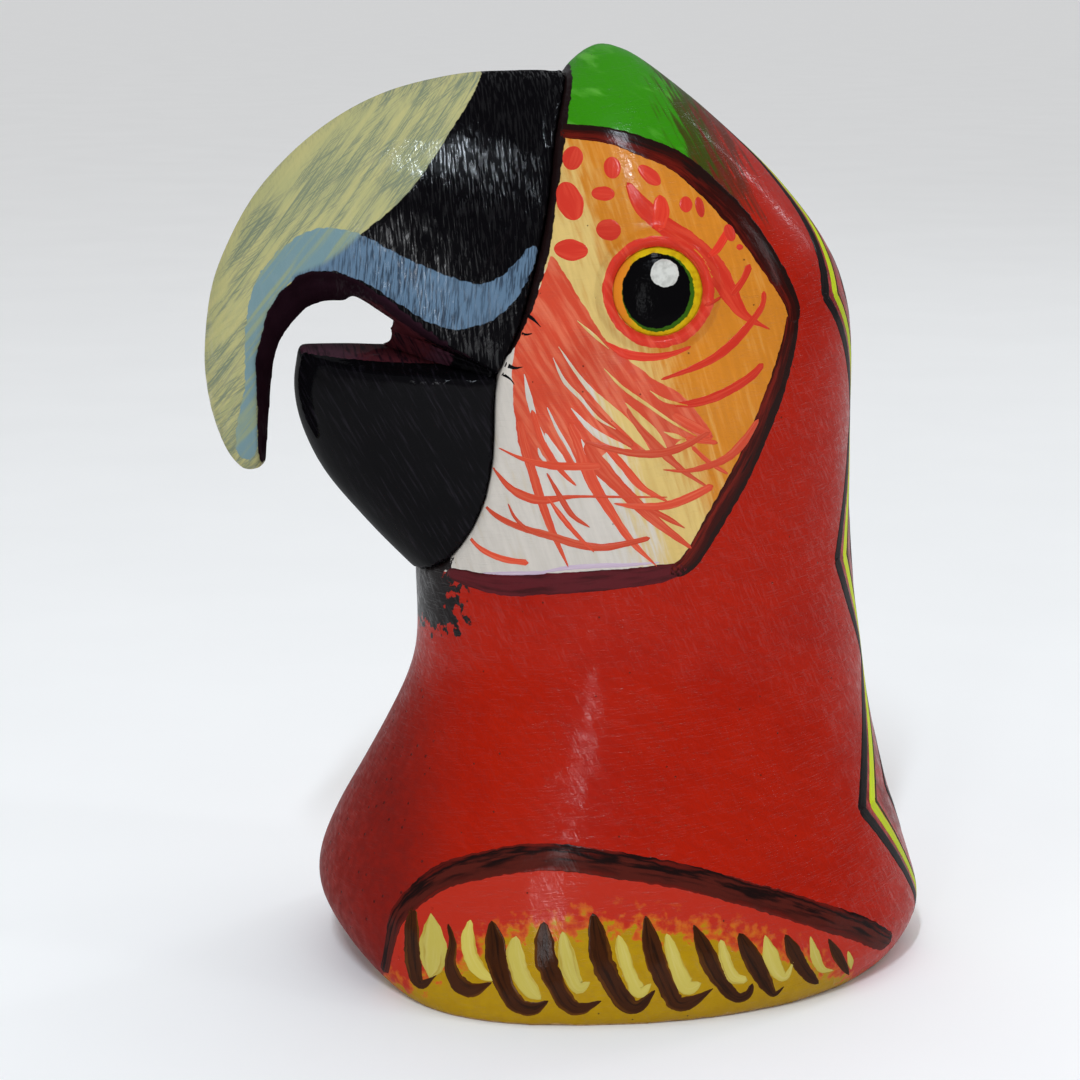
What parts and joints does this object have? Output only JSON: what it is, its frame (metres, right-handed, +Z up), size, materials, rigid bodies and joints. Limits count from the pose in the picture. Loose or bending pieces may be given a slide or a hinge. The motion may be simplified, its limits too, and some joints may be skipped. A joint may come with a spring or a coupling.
{
  "type": "hand shaker",
  "caption": "Hand shaker carved from wood as a macaw's head on its neck, hollow and filled with seeds, with a pegged-on open beak and a plugged flat base.",
  "frame": {"origin": "centre of the flat base, on the plug's under face", "axes": "+Z up the neck to the crest, -X the way the beak points, Y across the head"},
  "size_m": [0.1106, 0.0814, 0.139],
  "materials": {
    "red_paint": "brushed red paint under clear gloss varnish",
    "olive_paint": "streaky olive yellow and black paint under clear gloss varnish",
    "black_paint": "black paint under clear gloss varnish",
    "eye_paint": "yellow ring and black pupil under clear gloss varnish",
    "bare_wood": "sanded bare light wood",
    "dowel_wood": "plain turned hardwood rod",
    "seed": "hard polished dark seed coat"
  },
  "bodies": {
    "shaker": {"head_shell": "red_paint", "upper_beak": "olive_paint", "lower_beak": "black_paint", "base_plug": "bare_wood", "upper_beak_dowel_top": "dowel_wood", "upper_beak_dowel_bottom": "dowel_wood", "lower_beak_dowel": "dowel_wood", "eye_left": "eye_paint", "eye_right": "eye_paint"},
    "seed_01_body": {"seed_01": "seed"},
    "seed_02_body": {"seed_02": "seed"},
    "seed_03_body": {"seed_03": "seed"},
    "seed_04_body": {"seed_04": "seed"},
    "seed_05_body": {"seed_05": "seed"},
    "seed_06_body": {"seed_06": "seed"},
    "seed_07_body": {"seed_07": "seed"},
    "seed_08_body": {"seed_08": "seed"},
    "seed_09_body": {"seed_09": "seed"},
    "seed_10_body": {"seed_10": "seed"},
    "seed_11_body": {"seed_11": "seed"},
    "seed_12_body": {"seed_12": "seed"},
    "seed_13_body": {"seed_13": "seed"},
    "seed_14_body": {"seed_14": "seed"},
    "seed_15_body": {"seed_15": "seed"},
    "seed_16_body": {"seed_16": "seed"},
    "seed_17_body": {"seed_17": "seed"},
    "seed_18_body": {"seed_18": "seed"},
    "seed_19_body": {"seed_19": "seed"}
  },
  "joints": [
    {"name": "seed_01_slide", "type": "slide", "parent": "shaker", "child": "seed_01_body", "axis": [0, 0, 1], "range_m": [0, 0.041]},
    {"name": "seed_02_slide", "type": "slide", "parent": "shaker", "child": "seed_02_body", "axis": [0, 0, 1], "range_m": [0, 0.0455]},
    {"name": "seed_03_slide", "type": "slide", "parent": "shaker", "child": "seed_03_body", "axis": [0, 0, 1], "range_m": [0, 0.041]},
    {"name": "seed_04_slide", "type": "slide", "parent": "shaker", "child": "seed_04_body", "axis": [0, 0, 1], "range_m": [0, 0.0455]},
    {"name": "seed_05_slide", "type": "slide", "parent": "shaker", "child": "seed_05_body", "axis": [0, 0, 1], "range_m": [0, 0.051]},
    {"name": "seed_06_slide", "type": "slide", "parent": "shaker", "child": "seed_06_body", "axis": [0, 0, 1], "range_m": [0, 0.051]},
    {"name": "seed_07_slide", "type": "slide", "parent": "shaker", "child": "seed_07_body", "axis": [0, 0, 1], "range_m": [0, 0.0455]},
    {"name": "seed_08_slide", "type": "slide", "parent": "shaker", "child": "seed_08_body", "axis": [0, 0, 1], "range_m": [0, 0.041]},
    {"name": "seed_09_slide", "type": "slide", "parent": "shaker", "child": "seed_09_body", "axis": [0, 0, 1], "range_m": [0, 0.051]},
    {"name": "seed_10_slide", "type": "slide", "parent": "shaker", "child": "seed_10_body", "axis": [0, 0, 1], "range_m": [0, 0.053]},
    {"name": "seed_11_slide", "type": "slide", "parent": "shaker", "child": "seed_11_body", "axis": [0, 0, 1], "range_m": [0, 0.051]},
    {"name": "seed_12_slide", "type": "slide", "parent": "shaker", "child": "seed_12_body", "axis": [0, 0, 1], "range_m": [0, 0.041]},
    {"name": "seed_13_slide", "type": "slide", "parent": "shaker", "child": "seed_13_body", "axis": [0, 0, 1], "range_m": [0, 0.0455]},
    {"name": "seed_14_slide", "type": "slide", "parent": "shaker", "child": "seed_14_body", "axis": [0, 0, 1], "range_m": [0, 0.051]},
    {"name": "seed_15_slide", "type": "slide", "parent": "shaker", "child": "seed_15_body", "axis": [0, 0, 1], "range_m": [0, 0.051]},
    {"name": "seed_16_slide", "type": "slide", "parent": "shaker", "child": "seed_16_body", "axis": [0, 0, 1], "range_m": [0, 0.0455]},
    {"name": "seed_17_slide", "type": "slide", "parent": "shaker", "child": "seed_17_body", "axis": [0, 0, 1], "range_m": [0, 0.041]},
    {"name": "seed_18_slide", "type": "slide", "parent": "shaker", "child": "seed_18_body", "axis": [0, 0, 1], "range_m": [0, 0.0455]},
    {"name": "seed_19_slide", "type": "slide", "parent": "shaker", "child": "seed_19_body", "axis": [0, 0, 1], "range_m": [0, 0.041]}
  ]
}
